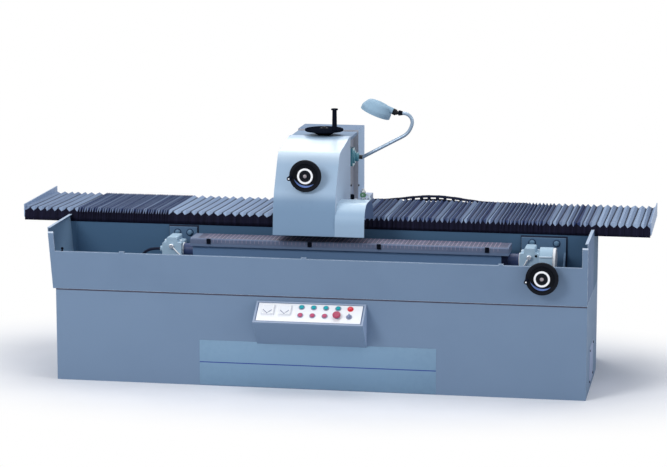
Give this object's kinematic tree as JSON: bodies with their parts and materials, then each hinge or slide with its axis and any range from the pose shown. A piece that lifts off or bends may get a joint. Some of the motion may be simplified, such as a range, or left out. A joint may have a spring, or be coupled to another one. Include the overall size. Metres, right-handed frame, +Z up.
{
  "type": "knife grinding machine",
  "caption": "Straight-knife grinding machine: cabinet with coolant trough, tilting magnetic table, traversing wheel head on pleat-covered ways, console, handwheels and lamp.",
  "frame": {"origin": "middle of the cabinet's bottom face, on the floor", "axes": "+X to the operator's right along the bed, +Y from the operator's side to the back, +Z up"},
  "size_m": [3.21, 1.1893, 1.3649],
  "materials": {
    "cabinet_blue": "satin grey-blue paint",
    "casting_blue": "painted cast iron",
    "light_blue": "light blue paint",
    "ground_steel": "ground steel",
    "chuck_steel": "ground chuck face",
    "dark_sheet": "dark sheet",
    "bellows_cloth": "coated pleated cloth",
    "conduit": "flexible conduit",
    "panel_white": "white enamel",
    "meter_black": "moulded instruments",
    "chain_plastic": "moulded nylon",
    "motor_grey": "motor grey",
    "lamp_teal": "teal paint",
    "lamp_shade": "blue enamel",
    "valve_brass": "brass",
    "valve_green": "green",
    "clear_hose": "clear hose",
    "wheel_black": "black moulding",
    "lever_chrome": "chrome",
    "abrasive": "white alumina",
    "button_green": "green",
    "button_red": "red"
  },
  "bodies": {
    "machine": {"base_cabinet": "cabinet_blue", "rear_covers": "cabinet_blue", "coolant_trough": "cabinet_blue", "trough_end_panels": "cabinet_blue", "bed": "casting_blue", "guide_rails": "ground_steel", "traverse_rack": "ground_steel", "bellows_end_plates": "dark_sheet", "bellows_left": "bellows_cloth", "bellows_right": "bellows_cloth", "table_brackets": "casting_blue", "bearing_block": "light_blue", "worm_gearbox": "light_blue", "chuck_conduit": "conduit", "console_box": "cabinet_blue", "console_panel": "panel_white", "panel_instruments": "meter_black", "chain_lower_run": "chain_plastic"},
    "carriage": {"saddle": "casting_blue", "column": "light_blue", "traverse_gearmotor": "motor_grey", "chain_upper_run": "chain_plastic"},
    "pinion": {"traverse_pinion": "ground_steel"},
    "chain_loop": {"chain_bend": "chain_plastic"},
    "head": {"head_slide": "casting_blue", "head_cover": "light_blue", "wheel_guard": "light_blue", "grinding_motor": "motor_grey", "screw_plate": "light_blue", "lamp_base": "lamp_teal", "coolant_valve": "valve_brass", "coolant_hose": "clear_hose"},
    "feed_wheel": {"feed_screw": "ground_steel", "feed_handwheel": "wheel_black"},
    "feed_grip": {"feed_handle": "wheel_black"},
    "fine_wheel": {"fine_feed_handwheel": "wheel_black"},
    "fine_grip": {"fine_feed_handle": "wheel_black"},
    "spindle": {"wheel_spindle": "ground_steel", "grinding_wheel": "abrasive"},
    "table": {"table_beam": "casting_blue", "trunnions": "ground_steel", "magnetic_chuck": "chuck_steel", "chuck_stops": "ground_steel"},
    "tilt_wheel": {"tilt_handwheel": "wheel_black"},
    "tilt_grip": {"tilt_handle": "wheel_black"},
    "clamp_left": {"clamp_lever_left": "lever_chrome"},
    "clamp_right": {"clamp_lever_right": "lever_chrome"},
    "lamp_neck": {"lamp_arm": "lever_chrome"},
    "lamp_head": {"lamp_shade": "lamp_shade"},
    "valve_lever": {"valve_handle": "valve_green"},
    "lock_knob": {"slide_lock_knob": "wheel_black"},
    "start_1": {"start_button_1": "button_green"},
    "start_2": {"start_button_2": "button_green"},
    "start_3": {"start_button_3": "button_green"},
    "start_4": {"start_button_4": "button_green"},
    "stop_1": {"stop_button_1": "button_red"},
    "stop_2": {"stop_button_2": "button_red"},
    "stop_3": {"stop_button_3": "button_red"},
    "emergency": {"emergency_button": "button_red"},
    "selector": {"selector_switch": "wheel_black"}
  },
  "joints": [
    {"name": "carriage_traverse", "type": "slide", "parent": "machine", "child": "carriage", "axis": [1, 0, 0], "range_m": [-0.8, 0.8], "deforming": ["bellows_left", "bellows_right", "chain_upper_run", "chain_lower_run"]},
    {"name": "pinion_turn", "type": "hinge", "parent": "carriage", "child": "pinion", "pos_m": [-0.0855, 0.375, 0.771], "axis": [0, 0, 1], "range_deg": [-1310, 1310]},
    {"name": "chain_follow", "type": "slide", "parent": "carriage", "child": "chain_loop", "axis": [1, 0, 0], "range_m": [-0.4, 0.4]},
    {"name": "head_feed", "type": "slide", "parent": "carriage", "child": "head", "axis": [0, 0, 1], "range_m": [-0.012, 0.08]},
    {"name": "feed_wheel_turn", "type": "hinge", "parent": "head", "child": "feed_wheel", "pos_m": [-0.074, 0.145, 1.18], "axis": [0, 0, 1], "range_deg": [-865, 5761]},
    {"name": "feed_grip_spin", "type": "hinge", "parent": "feed_wheel", "child": "feed_grip", "pos_m": [-0.00895, 0.07995, 1.24], "axis": [0, 0, 1], "continuous": true},
    {"name": "fine_wheel_turn", "type": "hinge", "parent": "head", "child": "fine_wheel", "pos_m": [-0.081, -0.3685, 1.04564], "axis": [0, 1, 0], "continuous": true},
    {"name": "fine_grip_spin", "type": "hinge", "parent": "fine_wheel", "child": "fine_grip", "pos_m": [-0.15173, -0.3685, 1.03945], "axis": [0, 1, 0], "continuous": true},
    {"name": "wheel_spin", "type": "hinge", "parent": "head", "child": "spindle", "pos_m": [0.07, -0.225, 0.82364], "axis": [1, 0, 0], "continuous": true},
    {"name": "tilt_wheel_turn", "type": "hinge", "parent": "machine", "child": "tilt_wheel", "pos_m": [1.109, -0.475, 0.606], "axis": [0, 1, 0], "range_deg": [-1801, 1801]},
    {"name": "tilt_grip_spin", "type": "hinge", "parent": "tilt_wheel", "child": "tilt_grip", "pos_m": [1.03827, -0.475, 0.59981], "axis": [0, 1, 0], "continuous": true},
    {"name": "table_tilt", "type": "hinge", "parent": "machine", "child": "table", "pos_m": [0.124, -0.225, 0.637], "axis": [1, 0, 0], "range_deg": [-90, 90]},
    {"name": "clamp_left_turn", "type": "hinge", "parent": "machine", "child": "clamp_left", "pos_m": [-0.775, -0.285, 0.663], "axis": [0, 1, 0], "range_deg": [-40, 40]},
    {"name": "clamp_right_turn", "type": "hinge", "parent": "machine", "child": "clamp_right", "pos_m": [1.023, -0.285, 0.663], "axis": [0, 1, 0], "range_deg": [-40, 40]},
    {"name": "lamp_swivel", "type": "hinge", "parent": "head", "child": "lamp_neck", "pos_m": [0.1135, 0.215, 1.064], "axis": [1, 0, 0], "range_deg": [-40, 40]},
    {"name": "lamp_shade_tilt", "type": "hinge", "parent": "lamp_neck", "child": "lamp_head", "pos_m": [0.2858, 0.215, 1.297], "axis": [0, 1, 0], "range_deg": [-20, 20]},
    {"name": "valve_turn", "type": "hinge", "parent": "head", "child": "valve_lever", "pos_m": [0.172, -0.138, 0.92568], "axis": [0, -1, 0], "range_deg": [0, 90]},
    {"name": "slide_lock_turn", "type": "hinge", "parent": "head", "child": "lock_knob", "pos_m": [0.0515, 0.117, 0.872], "axis": [1, 0, 0], "range_deg": [-60, 60]},
    {"name": "start_1_press", "type": "slide", "parent": "machine", "child": "start_1", "axis": [0, 0.5857, -0.8105], "range_m": [0, 0.004], "stiffness_N_per_m": 300, "springref_m": -0.003},
    {"name": "start_2_press", "type": "slide", "parent": "machine", "child": "start_2", "axis": [0, 0.5857, -0.8105], "range_m": [0, 0.004], "stiffness_N_per_m": 300, "springref_m": -0.003},
    {"name": "start_3_press", "type": "slide", "parent": "machine", "child": "start_3", "axis": [0, 0.5857, -0.8105], "range_m": [0, 0.004], "stiffness_N_per_m": 300, "springref_m": -0.003},
    {"name": "start_4_press", "type": "slide", "parent": "machine", "child": "start_4", "axis": [0, 0.5857, -0.8105], "range_m": [0, 0.004], "stiffness_N_per_m": 300, "springref_m": -0.003},
    {"name": "stop_1_press", "type": "slide", "parent": "machine", "child": "stop_1", "axis": [0, 0.5857, -0.8105], "range_m": [0, 0.004], "stiffness_N_per_m": 300, "springref_m": -0.003},
    {"name": "stop_2_press", "type": "slide", "parent": "machine", "child": "stop_2", "axis": [0, 0.5857, -0.8105], "range_m": [0, 0.004], "stiffness_N_per_m": 300, "springref_m": -0.003},
    {"name": "stop_3_press", "type": "slide", "parent": "machine", "child": "stop_3", "axis": [0, 0.5857, -0.8105], "range_m": [0, 0.004], "stiffness_N_per_m": 300, "springref_m": -0.003},
    {"name": "emergency_press", "type": "slide", "parent": "machine", "child": "emergency", "axis": [0, 0.5857, -0.8105], "range_m": [0, 0.006], "stiffness_N_per_m": 400, "springref_m": -0.004},
    {"name": "selector_turn", "type": "hinge", "parent": "machine", "child": "selector", "pos_m": [0.1734, -0.54876, 0.3857], "axis": [0, -0.5857, 0.8105], "range_deg": [-45, 45]}
  ],
  "couplings": [
    {"joint": "pinion_turn", "follows": "carriage_traverse", "rad_per_m": -28.571},
    {"joint": "chain_follow", "follows": "carriage_traverse", "ratio": -0.5},
    {"joint": "feed_wheel_turn", "follows": "head_feed", "rad_per_m": 1256.6},
    {"joint": "tilt_wheel_turn", "follows": "table_tilt", "ratio": 20}
  ]
}
